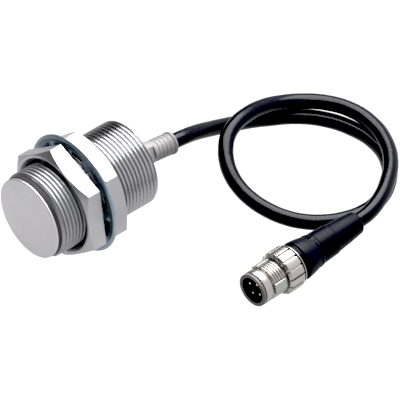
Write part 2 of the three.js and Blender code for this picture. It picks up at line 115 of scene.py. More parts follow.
def make_camera():
    """A very long lens, so that the view has almost no perspective."""
    data = bpy.data.cameras.new("camera")
    data.lens = LENS
    camera = bpy.data.objects.new("camera", data)
    bpy.context.scene.collection.objects.link(camera)
    back = Vector((
        math.sin(VIEW_AZIMUTH) * math.cos(VIEW_ELEVATION),
        -math.cos(VIEW_AZIMUTH) * math.cos(VIEW_ELEVATION),
        math.sin(VIEW_ELEVATION),
    ))
    distance = VIEW_WIDTH * LENS / data.sensor_width
    camera.location = VIEW_AIM + back * distance
    camera.rotation_mode = "QUATERNION"
    camera.rotation_quaternion = (-back).to_track_quat("-Z", "Y")
    bpy.context.scene.camera = camera


make_camera()

# ---- the lead ----
# The free lead's centreline in metres, from the protector's end to the plug's boot, listed point by
# point.
LEAD_ROUTE = [
    (0, 0.0615, -0.0025), (-0.0002, 0.0665, -0.0033), (-0.0011, 0.0725, -0.0054),
    (-0.0021, 0.0802, -0.0088), (-0.0025, 0.0893, -0.0125), (-0.002, 0.097, -0.015),
    (-0.0004, 0.1038, -0.0169), (0.0032, 0.1117, -0.0182), (0.0098, 0.1179, -0.0184),
    (0.0195, 0.1222, -0.0184), (0.03, 0.1233, -0.0184), (0.04, 0.1202, -0.0184),
    (0.048, 0.1134, -0.0184), (0.0524, 0.1049, -0.0184), (0.0533, 0.098, -0.0184),
    (0.0519, 0.0913, -0.0184), (0.0485, 0.0849, -0.0184), (0.044, 0.0802, -0.0184),
    (0.0385, 0.0767, -0.0182), (0.0325, 0.0742, -0.0174), (0.0265, 0.0727, -0.0161),
    (0.021, 0.0722, -0.0142), (0.0164, 0.0727, -0.012), (0.0123, 0.0744, -0.0101),
    (0.0088, 0.077, -0.0083), (0.0058, 0.0806, -0.007), (0.0035, 0.0856, -0.0065),
    (0.0018, 0.092, -0.0071), (0.0006, 0.1, -0.009), (0.001, 0.1075, -0.0113),
    (0.0039, 0.1146, -0.0127), (0.0095, 0.1202, -0.0129), (0.0175, 0.124, -0.0129),
    (0.027, 0.1247, -0.0129), (0.0365, 0.1222, -0.0129), (0.045, 0.117, -0.0129),
    (0.052, 0.1093, -0.0129), (0.0566, 0.1017, -0.013), (0.0589, 0.0952, -0.0133),
    (0.0596, 0.0897, -0.0134),
]


def make_lead():
    """One open curve through the route, with a round section of the cable's radius."""
    data = bpy.data.curves.new("lead_cable", "CURVE")
    data.dimensions = "3D"
    data.bevel_depth = CABLE_R * MM
    data.bevel_resolution = 8
    data.resolution_u = 10
    data.use_fill_caps = True
    spline = data.splines.new("BEZIER")
    spline.bezier_points.add(len(LEAD_ROUTE) - 1)
    for point, place in zip(spline.bezier_points, LEAD_ROUTE):
        point.co = place
        point.handle_left_type = "AUTO"
        point.handle_right_type = "AUTO"
    lead = bpy.data.objects.new("lead_cable", data)
    bpy.context.scene.collection.objects.link(lead)
    return lead


lead = make_lead()

# ---- places taken from the frame ----
joints = {joint["name"]: joint for joint in frame["joints"]}
plug_axis = Vector(joints["coupling_turn"]["axis"]).normalized()
PLUG_PLACE = Matrix.Translation(Vector(joints["coupling_turn"]["pos_m"])) @ (
    Vector((0, 1, 0)).rotation_difference(plug_axis).to_matrix().to_4x4()
)
PROTECTOR_PLACE = Matrix.Translation((0, PROTECTOR_Y * MM, 0)) @ (
    Matrix.Rotation(-math.radians(PROTECTOR_TILT), 4, "X")
)
NUT_FRONT_Y, NUT_FRONT_END = (corner.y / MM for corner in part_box("clamping_nut_front"))
NUT_REAR_Y, NUT_REAR_END = (corner.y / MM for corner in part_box("clamping_nut_rear"))


# ---- building meshes ----
def piece_of(name, mesh, place=None):
    """An object with this mesh, in the scene, at its place."""
    piece = bpy.data.objects.new(name, mesh)
    bpy.context.scene.collection.objects.link(piece)
    if place is not None:
        piece.matrix_world = place
    return piece


def clean(mesh, sharp_angle):
    """Merges what coincides, turns faces outward, and smooths all but the sharp edges."""
    build = bmesh.new()
    build.from_mesh(mesh)
    bmesh.ops.remove_doubles(build, verts=build.verts, dist=1e-6)
    bmesh.ops.dissolve_degenerate(build, edges=build.edges, dist=1e-7)
    bmesh.ops.recalc_face_normals(build, faces=build.faces)
    build.to_mesh(mesh)
    build.free()
    for polygon in mesh.polygons:
        polygon.use_smooth = True
    mesh.set_sharp_from_angle(angle=math.radians(sharp_angle))


def skin(name, columns, ring_rows=True, ring_columns=True, sharp_angle=35):
    """A mesh through columns of points in millimetres, each column one section of the piece.

    ring_rows closes each column into a loop; ring_columns joins the last column to the first."""
    columns = np.asarray(columns, float) * MM
    n_columns, n_rows = columns.shape[:2]
    faces = []
    for i in range(n_columns if ring_columns else n_columns - 1):
        for j in range(n_rows if ring_rows else n_rows - 1):
            a, b = i * n_rows, (i + 1) % n_columns * n_rows
            k = (j + 1) % n_rows
            faces.append((a + j, b + j, b + k, a + k))
    mesh = bpy.data.meshes.new(name)
    mesh.from_pydata(columns.reshape(-1, 3).tolist(), [], faces)
    clean(mesh, sharp_angle)
    return mesh


def rounded(outline, radius, closed=True, steps=3):
    """An outline of (radius, y) points with each corner turned into a small curve.

    A point may carry its own corner radius as a third number."""
    count = len(outline)
    result = []
    for k, point in enumerate(outline):
        corner = np.array(point[:2], float)
        size = point[2] if len(point) > 2 else radius
        at_end = not closed and k in (0, count - 1)
        if size == 0 or at_end:
            result.append(corner)
            continue
        before = np.array(outline[k - 1][:2], float) - corner
        after = np.array(outline[(k + 1) % count][:2], float) - corner
        reach_before = min(size, 0.45 * np.linalg.norm(before))
        reach_after = min(size, 0.45 * np.linalg.norm(after))
        start = corner + before / np.linalg.norm(before) * reach_before
        end = corner + after / np.linalg.norm(after) * reach_after
        for t in np.linspace(0, 1, steps + 1):
            result.append((1 - t) ** 2 * start + 2 * t * (1 - t) * corner + t ** 2 * end)
    return np.array(result)


def turned(profile, angle):
    """A profile of (radius, y) points, placed at an angle round the Y axis."""
    profile = np.asarray(profile, float)
    x, z = profile[:, 0] * math.cos(angle), profile[:, 0] * math.sin(angle)
    return np.stack([x, profile[:, 1], z], axis=1)


def lathe(name, profile, segments=96, closed=True, sharp_angle=35):
    """A piece turned from a profile; an open profile begins and ends on the axis."""
    angles = np.linspace(0, FULL_TURN, segments, endpoint=False)
    columns = [turned(profile, angle) for angle in angles]
    return skin(name, columns, ring_rows=closed, sharp_angle=sharp_angle)


# One turn of a thread with a broad rounded crest: (share of the pitch, share of the depth).
THREAD_FORM = (
    (0.0, 0.28), (0.06, 0.11), (0.16, 0.02), (0.30, 0.0), (0.44, 0.02),
    (0.54, 0.11), (0.60, 0.28), (0.74, 0.86), (0.80, 1.0), (0.86, 0.86),
)


def threaded(name, crest, depth, pitch, start, end, inside, segments=144, sharp_angle=50):
    """A right-handed outside thread from start to end along Y, with a chamfer at each end.

    inside is the rest of the section, from the rear end of the thread back to its front end."""
    root = crest - depth
    turns = math.ceil((end - start) / pitch) + 1
    columns = []
    for angle in np.linspace(0, FULL_TURN, segments + 1):
        rows = []
        for turn in range(turns + 1):
            for share, drop in THREAD_FORM:
                y = start + pitch * (turn + share - angle / FULL_TURN)
                chamfer = root + max(min(y - start, end - y), 0)
                radius = min(crest - depth * drop, chamfer)
                rows.append((radius, min(max(y, start), end)))
        columns.append(turned(rows + list(inside), angle))
    return skin(name, columns, ring_columns=False, sharp_angle=sharp_angle)


def weighted(piece):
    """Large faces keep their own shading beside small rounded edges."""
    modifier = piece.modifiers.new("weighted normals", "WEIGHTED_NORMAL")
    modifier.keep_sharp = True
    modifier.weight = 80
    return piece


def turned_box(low, high, angle):
    """A box between two corners in millimetres, turned about the Y axis."""
    box = bmesh.new()
    bmesh.ops.create_cube(box, size=1)
    low, high = np.array(low) * MM, np.array(high) * MM
    size = Matrix.Diagonal((*(high - low), 1))
    centre = Matrix.Translation((low + high) / 2)
    turn = Matrix.Rotation(-angle, 4, "Y")
    bmesh.ops.transform(box, matrix=turn @ centre @ size, verts=box.verts)
    return box


def cut(piece, cutters):
    """Takes boxes out of a piece. Each cutter is (low corner, high corner, turn about Y)."""
    for cutter in cutters:
        box = turned_box(*cutter)
        tool_mesh = bpy.data.meshes.new("cutter")
        box.to_mesh(tool_mesh)
        box.free()
        tool = bpy.data.objects.new("cutter", tool_mesh)
        bpy.context.scene.collection.objects.link(tool)
        tool.matrix_world = piece.matrix_world
        modifier = piece.modifiers.new("cut", "BOOLEAN")
        modifier.operation = "DIFFERENCE"
        modifier.solver = "EXACT"
        modifier.object = tool
        bpy.context.view_layer.update()
        graph = bpy.context.evaluated_depsgraph_get()
        result = bpy.data.meshes.new_from_object(piece.evaluated_get(graph))
        piece.modifiers.remove(modifier)
        piece.data = result
        bpy.data.objects.remove(tool)
    return piece


# ---- materials ----
TOOL_MARKS = 5000  # scale of the noise that stands for a lathe's marks, per metre


class Look:
    """A material being made: its node tree and its one Principled shader."""

    def __init__(self, name, color, **sockets):
        self.material = bpy.data.materials.new(name)
        self.material.use_nodes = True
        self.tree = self.material.node_tree
        self.shader = self.tree.nodes["Principled BSDF"]
        self.shader.inputs["Base Color"].default_value = (*color, 1)
        for socket, value in sockets.items():
            self.shader.inputs[socket.replace("_", " ")].default_value = value
        self.place = self.node("ShaderNodeTexCoord").outputs["Object"]

    def node(self, kind, inputs=None, **settings):
        """A new node; an input is a number or another node's output."""
        made = self.tree.nodes.new(kind)
        for key, value in settings.items():
            setattr(made, key, value)
        for key, value in (inputs or {}).items():
            if isinstance(value, bpy.types.NodeSocket):
                self.tree.links.new(value, made.inputs[key])
            else:
                made.inputs[key].default_value = value
        return made

    def stretched(self, scale):
        """The object's own coordinates, scaled along each axis."""
        settings = {"Vector": self.place, "Scale": scale}
        return self.node("ShaderNodeMapping", settings).outputs["Vector"]

    def turning(self):
        """Coordinates of a turned piece: its radius and its place along the Y axis."""
        parts = self.node("ShaderNodeSeparateXYZ", {"Vector": self.place})
        across = self.node("ShaderNodeCombineXYZ", {"X": parts.outputs["X"], "Y": parts.outputs["Z"]})
        length = self.node("ShaderNodeVectorMath", {0: across.outputs[0]}, operation="LENGTH")
        both = {"X": length.outputs["Value"], "Y": parts.outputs["Y"]}
        return self.node("ShaderNodeCombineXYZ", both).outputs[0]

    def noise(self, place, scale, detail):
        inputs = {"Vector": place, "Scale": scale, "Detail": detail, "Roughness": 0.5}
        return self.node("ShaderNodeTexNoise", inputs).outputs["Fac"]

    def between(self, value, low, high, start=0.3, end=0.7):
        """value, carried from start..end to low..high."""
        inputs = {"Value": value, "From Min": start, "From Max": end, "To Min": low, "To Max": high}
        return self.node("ShaderNodeMapRange", inputs).outputs["Result"]

    def mixed(self, value, first, second):
        """A colour from first to second, by value."""
        ramp = self.node("ShaderNodeValToRGB", {"Fac": value})
        ramp.color_ramp.elements[0].color = (*first, 1)
        ramp.color_ramp.elements[1].color = (*second, 1)
        return ramp.outputs["Color"]

    def set(self, socket, value):
        """Drives a socket of the shader by a node's output."""
        self.tree.links.new(value, self.shader.inputs[socket])

    def bump(self, height, distance, under=None):
        """Relief by a height value, on top of the relief under it."""
        inputs = {"Height": height, "Distance": distance, "Strength": 1.0}
        if under is not None:
            inputs["Normal"] = under
        made = self.node("ShaderNodeBump", inputs).outputs["Normal"]
        self.tree.links.new(made, self.shader.inputs["Normal"])
        return made


def turned_metal(name, bright, dull, roughness, height=4e-6):
    """Turned metal: fine tool marks round its axis, slow changes of tone, and uneven gloss."""
    look = Look(name, bright, Metallic=1.0)
    marks = look.noise(look.turning(), TOOL_MARKS, 4)
    patches = look.noise(look.place, 140, 4)
    look.set("Base Color", look.mixed(look.between(patches, 0, 1), bright, dull))
    look.set("Roughness", look.between(marks, roughness - 0.05, roughness + 0.07))
    fine = look.bump(marks, height)
    look.bump(look.noise(look.place, 2600, 2), height / 2, under=fine)
    return look


def barrel_metal(name):
    """Turned steel with a roughness of its own: duller in front of the nuts than behind them."""
    look = turned_metal(name, (0.37, 0.37, 0.385), (0.34, 0.34, 0.355), 0.3)
    along = look.node("ShaderNodeSeparateXYZ", {"Vector": look.place}).outputs["Y"]
    marks = look.noise(look.turning(), TOOL_MARKS, 4)
    dull_until, bright_from = 0.009, 0.022  # metres along the barrel
    base = look.between(along, 0.4, 0.2, dull_until, bright_from)
    spread = look.node("ShaderNodeMath", {0: marks, 1: 0.12}, operation="MULTIPLY").outputs[0]
    look.set("Roughness", look.node("ShaderNodeMath", {0: base, 1: spread}, operation="ADD").outputs[0])
    return look


def milled_metal(name, bright, dull, roughness):
    """Milled and plated flats: faint lines along the Y axis, plus soft mottling."""
    look = Look(name, bright, Metallic=1.0)
    lines = look.noise(look.stretched((2200, 160, 2200)), 1, 3)
    patches = look.noise(look.place, 190, 4)
    look.set("Base Color", look.mixed(look.between(patches, 0, 1), bright, dull))
    look.set("Roughness", look.between(lines, roughness - 0.04, roughness + 0.06))
    fine = look.bump(lines, 2e-6)
    look.bump(look.noise(look.place, 900, 3), 5e-6, under=fine)
    return look


def zinc_metal(name):
    """Blue zinc plate on spring steel: tint and gloss drift from place to place."""
    look = Look(name, (0.3, 0.36, 0.42), Metallic=0.8)
    drift = look.noise(look.place, 90, 3)
    tint = look.mixed(look.between(drift, 0, 1), (0.27, 0.33, 0.39), (0.40, 0.46, 0.50))
    look.set("Base Color", tint)
    grain = look.noise(look.place, 3800, 3)
    look.set("Roughness", look.between(grain, 0.3, 0.46))
    look.bump(grain, 4e-6)
    return look


def moulded(name, dark, light, roughness, grain=2600, height=8e-6, gloss=0.35, **sockets):
    """Moulded plastic: a fine even grain and a slow drift of tone."""
    look = Look(name, dark, **sockets)
    texture = look.noise(look.place, grain, 3)
    drift = look.noise(look.place, 120, 2)
    look.set("Base Color", look.mixed(look.between(drift, 0, 1), dark, light))
    look.set("Roughness", look.between(texture, roughness - 0.05, roughness + 0.08))
    look.shader.inputs["Specular IOR Level"].default_value = gloss
    look.bump(texture, height)
    return look


FACE_STEEL = turned_metal(
    "face_steel", (0.65, 0.64, 0.65), (0.62, 0.61, 0.62), 0.5, height=2e-6
).material
BARREL_STEEL = barrel_metal("barrel_steel").material
NUT_NICKEL = milled_metal("nut_nickel", (0.50, 0.50, 0.52), (0.47, 0.47, 0.49), 0.4).material
WASHER_ZINC = zinc_metal("washer_zinc").material
PLUG_NICKEL = turned_metal(
    "plug_nickel", (0.47, 0.446, 0.427), (0.43, 0.406, 0.387), 0.3, height=2e-6
).material
LUG_METAL = turned_metal("lug_metal", (0.42, 0.44, 0.43), (0.38, 0.40, 0.39), 0.5).material
CABLE_JACKET = moulded(
    "cable_jacket", (0.002, 0.002, 0.006), (0.003, 0.003, 0.008), 0.24, 1500, 2e-6, 0.27
).material
BOOT_VINYL = moulded(
    "boot_vinyl", (0.003, 0.003, 0.008), (0.005, 0.005, 0.011), 0.4, gloss=0.16
).material
SHELL_PLASTIC = moulded(
    "shell_plastic", (0.003, 0.003, 0.009), (0.005, 0.005, 0.012), 0.4, gloss=0.2
).material
# Painted shade: a dark grey that stands in for the shade in the groove behind the face.
GROOVE_SHADE_GREY = moulded("painted_groove_shade", (0.035, 0.033, 0.037), (0.06, 0.055, 0.06), 0.5, 1800).material
CARRIER_GREY = moulded("carrier_grey", (0.13, 0.12, 0.13), (0.17, 0.155, 0.165), 0.45).material
CARRIER_BLACK = moulded("carrier_black", (0.004, 0.004, 0.004), (0.008, 0.008, 0.008), 0.5).material
CAP_PLASTIC = moulded("cap_plastic", (0.012, 0.011, 0.014), (0.02, 0.018, 0.022), 0.4).material
SLEEVE_PLASTIC = moulded(
    "sleeve_plastic", (0.19, 0.185, 0.19), (0.28, 0.27, 0.27), 0.4, 1600, 5e-6, 0.4,
    Transmission_Weight=0.25,
).material
PIN_GOLD = turned_metal("pin_gold", (0.83, 0.70, 0.46), (0.76, 0.62, 0.40), 0.25).material


def dress(piece, material, body, slot, *nodes):
    """Gives a piece its material and its CAD body, and hides the nodes it stands for; its slot is not
    used.
    """
    piece.data.materials.clear()
    piece.data.materials.append(material)
    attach(piece, body)
    if nodes:
        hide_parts(*nodes)
    return piece


dress(lead, CABLE_JACKET, "sensor", "cable_jacket", "cable")


# ---- the head ----
def face_cup():
    """Thin steel cup with a rounded rim and a skirt inside the barrel."""
    skirt = BORE_R - GAP
    rim = FACE_R - 0.1
    profile = rounded([
        (0, 0), (rim, 0, 0.55), (rim, 0.65, 0.1), (skirt, 0.65, 0.05),
        (skirt, 7.5), (skirt - 0.6, 7.5), (skirt - 0.6, 0.5, 0.3), (0, 0.5),
    ], 0.1, closed=False, steps=6)
    return lathe("face_cup", profile, 128, closed=False)


def barrel_shell():
    """The housing: a tube with the M30 thread outside and chamfered ends."""
    root = THREAD_R - THREAD_DEPTH
    front = THREAD_FRONT - 0.15
    inside = [
        (root - 0.1, BODY_LENGTH), (BORE_R + 0.15, BODY_LENGTH), (BORE_R, BODY_LENGTH - 0.15),
        (BORE_R, front), (root - 0.1, front),
    ]
    return threaded(
        "barrel_shell", THREAD_R, THREAD_DEPTH, THREAD_PITCH, THREAD_FRONT, BODY_LENGTH, inside
    )


def shade_ring_behind_face():
    """Painted shade: a dark ring that fills the step between the face and the barrel's first thread,
    where that groove lies in shade.
    """
    inner = BORE_R - GAP + 0.1
    start, end = 0.75, THREAD_FRONT - 0.25
    profile = [(inner, start), (FACE_R - 0.45, start), (FACE_R + 0.1, end), (inner, end)]
    return lathe("shade_ring_behind_face", rounded(profile, 0.12), 128)


def hexagon(flats, first_corner, corner_radius=0.35, corner_steps=4, side_steps=10):
    """(angle, radius) round a hexagon with slightly rounded corners."""
    half = flats / 2
    inset = corner_radius * math.tan(math.pi / 6)
    corner = half / math.cos(math.pi / 6)
    points = []
    for k in range(6):
        at = math.radians(first_corner + 60 * k)
        centre_r = corner - corner_radius / math.cos(math.pi / 6)
        centre = centre_r * np.array([math.cos(at), math.sin(at)])
        for turn in at + np.linspace(-math.pi / 6, math.pi / 6, corner_steps + 1):
            points.append(centre + corner_radius * np.array([math.cos(turn), math.sin(turn)]))
        flat_to = math.radians(first_corner + 60 * k + 30)
        along = np.array([-math.sin(flat_to), math.cos(flat_to)])
        out = half * np.array([math.cos(flat_to), math.sin(flat_to)])
        reach = half * math.tan(math.pi / 6) - inset
        for share in np.linspace(-1, 1, side_steps + 1)[1:-1]:
            points.append(out + along * reach * share)
    return [(math.atan2(z, x), math.hypot(x, z)) for x, z in points]


def clamping_nut(name, start, end, first_corner, chamfered_end_first):
    """Hexagon nut, chamfered at 30 degrees on one side, with a wide countersink on that side."""
    slope = math.tan(math.pi / 6)
    wide, small = 1.85, 0.85
    edge = 0.1
    columns = []
    for angle, radius in hexagon(NUT_FLATS, first_corner):
        drop = (radius - NUT_CHAMFER_R) * slope
        section = [
            (NUT_BORE_R, wide), (NUT_BORE_R + wide - 0.05, 0.05), (NUT_BORE_R + wide + 0.05, 0),
            (NUT_CHAMFER_R - edge, 0), (NUT_CHAMFER_R + edge, edge * slope),
            (radius - 1.2 * edge, drop - 1.2 * edge * slope), (radius, drop + edge),
            (radius, end - start - 0.15), (radius - 0.15, end - start),
            (NUT_BORE_R + small, end - start), (NUT_BORE_R, end - start - small),
        ]
        if chamfered_end_first:
            section = [(r, start + y) for r, y in section]
        else:
            section = [(r, end - y) for r, y in section]
        columns.append(turned(section, angle))
    return skin(name, columns, sharp_angle=50)


def lock_washer():
    """Internal tooth lock washer: each tooth is twisted about its own radius."""
    low, high = (corner.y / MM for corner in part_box("toothed_washer"))
    front, rear = 18.8, 19.9  # the flat sides of its rim
    per_tooth = 24  # sections
    tooth_share = 0.42  # of the space from tooth to tooth
    thick = 0.8
    twist = math.tan(math.radians(WASHER_TWIST))
    columns = []
    for k in range(WASHER_TEETH * per_tooth):
        angle = math.radians(WASHER_FIRST_TOOTH) + FULL_TURN * k / (WASHER_TEETH * per_tooth)
        share = (k / per_tooth + 0.5) % 1 - 0.5
        on_tooth = abs(share) <= tooth_share / 2
        inner = WASHER_TIP_R if on_tooth else WASHER_ROOT_R
        section = []
        radii = np.concatenate([np.linspace(inner, WASHER_ROOT_R + 0.6, 7), [18.9, 19.6]])
        for radius in radii:
            bend = np.clip((WASHER_ROOT_R + 0.5 - radius) / 1.2, 0, 1)
            across = share * FULL_TURN / WASHER_TEETH * radius
            middle = front + thick / 2 + 0.1 + (twist * bend * across if on_tooth else 0)
            middle = np.clip(middle, low + thick / 2, high - thick / 2)
            section.append((radius, middle))
        top = [(r, m - thick / 2) for r, m in section]
        bottom = [(r, m + thick / 2) for r, m in section]
        rim = [
            (19.9, front), (20.15, front), (WASHER_R - 0.12, front + 0.45), (WASHER_R, front + 0.6),
            (WASHER_R, rear - 0.12), (WASHER_R - 0.12, rear), (19.9, rear),
        ]
        columns.append(turned(top + rim + bottom[::-1], angle))
    return skin("lock_washer", columns, sharp_angle=40)


def end_cap():
    """The cap round the cable: a shallow dish with a raised collar."""
    bore = 4.5
    cap = BORE_R - GAP
    profile = rounded([
        (bore, 38.4), (cap, 38.4), (cap, 39.4), (11.1, 39.4), (11.1, 41.4), (cap, 41.4),
        (cap, 42.3), (11.4, 42.3), (10.9, 41.9), (6.6, 41.9), (6.1, 42.3), (bore, 42.3),
    ], 0.15)
    return lathe("end_cap", profile, 96)


def ribbed_sleeve():
    """Ribbed sleeve: a plain collar with a shallow window, thin ribs and a flange at its end."""
    bore, sleeve, rib, flange = CABLE_R + 0.1, 3.55, 3.75, 3.9
    outline = [(bore, 0), (3.8, 0), (3.8, 8.9), (sleeve, 9.0)]
    for k in range(4):
        at = 10.2 + 1.6 * k
        outline += [(sleeve, at), (rib, at + 0.1), (rib, at + 0.5), (sleeve, at + 0.6)]
    end = PROTECTOR_LENGTH
    outline += [(sleeve, end - 1.0), (flange, end - 0.9), (flange, end), (bore, end)]
    mesh = lathe("ribbed_sleeve", rounded(outline, 0.08), 72)
    piece = piece_of("ribbed_sleeve", mesh, PROTECTOR_PLACE)
    window = ((3.05, 6.3, -2.3), (6, 8.3, 2.3), 0.5)
    return cut(piece, [window])


cup = weighted(piece_of("face_cup", face_cup()))
dress(cup, FACE_STEEL, "sensor", "face_steel", "sensing_face")
barrel = piece_of("barrel_shell", barrel_shell())
dress(barrel, BARREL_STEEL, "sensor", "barrel_steel", "threaded_barrel")
# The dark ring behind the face is painted shade for the groove there.
dress(piece_of("shade_ring_behind_face", shade_ring_behind_face()), GROOVE_SHADE_GREY, "sensor", "seal_rubber")
front_nut = clamping_nut("nut_front", NUT_FRONT_Y, NUT_FRONT_END, NUT_FRONT_CORNER, True)
front_nut = weighted(piece_of("nut_front", front_nut))
dress(front_nut, NUT_NICKEL, "front_nut", "nut_nickel", "clamping_nut_front")
rear_nut = clamping_nut("nut_rear", NUT_REAR_Y, NUT_REAR_END, NUT_REAR_CORNER, False)
rear_nut = weighted(piece_of("nut_rear", rear_nut))
dress(rear_nut, NUT_NICKEL, "rear_nut", "nut_nickel", "clamping_nut_rear")
washer = weighted(piece_of("lock_washer", lock_washer()))
dress(washer, WASHER_ZINC, "washer", "washer_zinc", "toothed_washer")
dress(weighted(piece_of("end_cap", end_cap())), CAP_PLASTIC, "sensor", "black_plastic", "rear_cap")
dress(ribbed_sleeve(), SLEEVE_PLASTIC, "sensor", "sleeve_plastic", "cable_protector")


# ---- the plug: places along its axis from the front rim, and the cavity behind the rim ----
SLEEVE_FROM = 1.3
THREAD_FROM = 4.6
THREAD_TO = 10.6
GRIP_FROM = 10.8
GRIP_TO = 17.3
SHELL_FROM = 18.4
SHELL_TO = 28.3
CAVITY_R = 4.6
CAVITY_FLOOR = 7.5


def plug_insert():
    """The insulating insert: a grey rim, and a dark cavity with a coding key."""
    rim, seat = 5.85, 4.95
    outline = [
        (0, CAVITY_FLOOR), (CAVITY_R, CAVITY_FLOOR, 0.2), (CAVITY_R, 0, 0.25), (rim, 0, 0.2),
        (rim, 1.0, 0.1), (seat, 1.0, 0.05), (seat, GRIP_TO), (0, GRIP_TO),
    ]
    mesh = lathe("plug_insert", rounded(outline, 0.1, closed=False), 96, closed=False)
    piece = piece_of("plug_insert", mesh, PLUG_PLACE)
    dress(piece, CARRIER_GREY, "sensor", "carrier_plastic", "contact_carrier")
    mesh.materials.append(CARRIER_BLACK)
    for polygon in mesh.polygons:
        centre = polygon.center / MM
        in_cavity = math.hypot(centre.x, centre.z) < CAVITY_R + 0.02 and 0.2 < centre.y < GRIP_FROM
        polygon.material_index = 1 if in_cavity else 0
    key_angle = math.radians(PIN_FIRST_ANGLE + 135)
    low, high = (3.9, 0.8, -0.5), (CAVITY_R + 0.1, CAVITY_FLOOR, 0.5)
    key = box_piece("coding_key", low, high, key_angle, 0.12)
    dress(key, CARRIER_BLACK, "sensor", "carrier_plastic")
    return [piece, key]


def box_piece(name, low, high, angle, edge):
    """A box with rounded edges in the plug's frame, turned about its axis."""
    box = turned_box(low, high, angle)
    edges = box.edges[:]
    bmesh.ops.bevel(box, geom=edges, offset=edge * MM, segments=3, profile=0.5, affect="EDGES")
    mesh = bpy.data.meshes.new(name)
    box.to_mesh(mesh)
    box.free()
    for polygon in mesh.polygons:
        polygon.use_smooth = True
    return weighted(piece_of(name, mesh, PLUG_PLACE))


def plug_pins():
    """Four round contact pins with domed tips."""
    tip, back, radius = 1.2, 17, 0.5
    outline = [(0, tip), (radius, tip, 0.4), (radius, back), (0, back)]
    profile = rounded(outline, 0.05, closed=False, steps=6)
    pins = []
    for k in range(4):
        angle = math.radians(PIN_FIRST_ANGLE + 90 * k)
        across = PIN_CIRCLE_R * MM * Vector((math.cos(angle), 0, math.sin(angle)))
        mesh = lathe(f"plug_pin_{k + 1}", profile, 24, closed=False)
        pin = piece_of(f"plug_pin_{k + 1}", mesh, PLUG_PLACE @ Matrix.Translation(across))
        pins.append(dress(pin, PIN_GOLD, "sensor", "gold_pin", f"contact_pin_{k + 1}"))
    return pins


def plug_sleeve():
    """Plain collar, M12 thread and the grip ring's seat; three pockets take the lugs."""
    inner, groove = 5.25, 5.4
    collar = PLUG_THREAD_R - 0.05
    inside = [
        (groove, THREAD_TO + 0.05), (groove, GRIP_FROM + 0.1), (PLUG_THREAD_R, GRIP_FROM + 0.2),
        (PLUG_THREAD_R, GRIP_TO - 0.3), (inner, GRIP_TO - 0.3), (inner, SLEEVE_FROM + 0.1),
        (inner + 0.1, SLEEVE_FROM), (collar - 0.15, SLEEVE_FROM), (collar, SLEEVE_FROM + 0.15),
        (collar, THREAD_FROM - 0.45), (collar - 0.1, THREAD_FROM - 0.35),
        (groove, THREAD_FROM - 0.3), (groove, THREAD_FROM - 0.05),
    ]
    mesh = threaded(
        "plug_sleeve", PLUG_THREAD_R, PLUG_THREAD_DEPTH, PLUG_PITCH, THREAD_FROM, THREAD_TO, inside, 96
    )
    piece = piece_of("plug_sleeve", mesh, PLUG_PLACE)
    pockets = [
        ((5.32, THREAD_FROM - 0.1, -1.95), (7, THREAD_TO + 0.1, 1.95), math.radians(angle))
        for angle in LUG_ANGLES
    ]
    pieces = [dress(cut(piece, pockets), PLUG_NICKEL, "coupling", "nickel", "coupling_sleeve")]
    low, high = (5.36, THREAD_FROM + 0.3, -1.7), (6.25, THREAD_TO - 0.5, 1.7)
    for k, angle in enumerate(LUG_ANGLES):
        lug = box_piece(f"coupling_lug_{k + 1}", low, high, math.radians(angle), 0.2)
        pieces.append(dress(lug, LUG_METAL, "coupling", "nickel"))
    return pieces


def grip_band():
    """Ring with lengthways grooves and chamfered ends."""
    groove = 0.75
    bore = PLUG_THREAD_R + GAP
    # A flute from groove to groove: (share of the flute, share of the groove's depth).
    side = [(0.0, 1.0), (0.07, 0.95), (0.1, 0.1), (0.13, 0.0)]
    top = [(share, 0.0) for share in np.linspace(0.2, 0.8, 4)]
    flute = side + top + [(1 - share, drop) for share, drop in side[:0:-1]]
    columns = []
    for k in range(GRIP_FLUTES):
        for share, drop in flute:
            outer = GRIP_R - groove * drop
            angle = FULL_TURN * (k + share) / GRIP_FLUTES + math.radians(GRIP_FIRST_GROOVE)
            section = [
                (bore, GRIP_FROM), (outer - 0.75, GRIP_FROM), (outer - 0.08, GRIP_FROM + 0.75),
                (outer, GRIP_FROM + 0.9), (outer, GRIP_TO - 0.55), (outer - 0.08, GRIP_TO - 0.42),
                (outer - 0.45, GRIP_TO), (bore, GRIP_TO),
            ]
            columns.append(turned(section, angle))
    mesh = skin("grip_band", columns, sharp_angle=45)
    piece = weighted(piece_of("grip_band", mesh, PLUG_PLACE))
    return [dress(piece, PLUG_NICKEL, "coupling", "nickel", "grip_ring")]


def snap_ring():
    """Thin bright ring behind the grip ring."""
    start, end = GRIP_TO + 0.4, GRIP_TO + 0.8
    bore, outer = 5.1, 7.15
    profile = rounded([(bore, start), (outer, start), (outer, end), (bore, end)], 0.12)
    piece = piece_of("snap_ring", lathe("snap_ring", profile, 96), PLUG_PLACE)
    return [dress(piece, PLUG_NICKEL, "sensor", "nickel", "retaining_ring")]


def plug_collar():
    """Black collar: a dark front band, a swelling that narrows, and a rim with a notch on top."""
    bore = 4.9
    outline = [
        (bore, SHELL_FROM), (5.9, SHELL_FROM, 0.1), (6.4, SHELL_FROM + 1.8, 0.1),
        (6.8, SHELL_FROM + 1.9, 0.2), (6.8, SHELL_FROM + 2.6, 0.3),
        (6.55, SHELL_FROM + 4.6, 1.2), (5.8, SHELL_TO - 1.7, 0.8), (5.75, SHELL_TO - 1.5, 0.1),
        (5.95, SHELL_TO - 1.3, 0.15), (5.7, SHELL_TO - 0.1, 0.15), (5.5, SHELL_TO), (bore, SHELL_TO),
    ]
    mesh = lathe("plug_collar", rounded(outline, 0.15, steps=4), 96)
    notch = ((-0.9, SHELL_TO - 2.2, 5.45), (0.9, SHELL_TO + 1, 8), 0)
    piece = cut(piece_of("plug_collar", mesh, PLUG_PLACE), [notch])
    return [dress(piece, SHELL_PLASTIC, "sensor", "black_plastic", "plug_shell")]


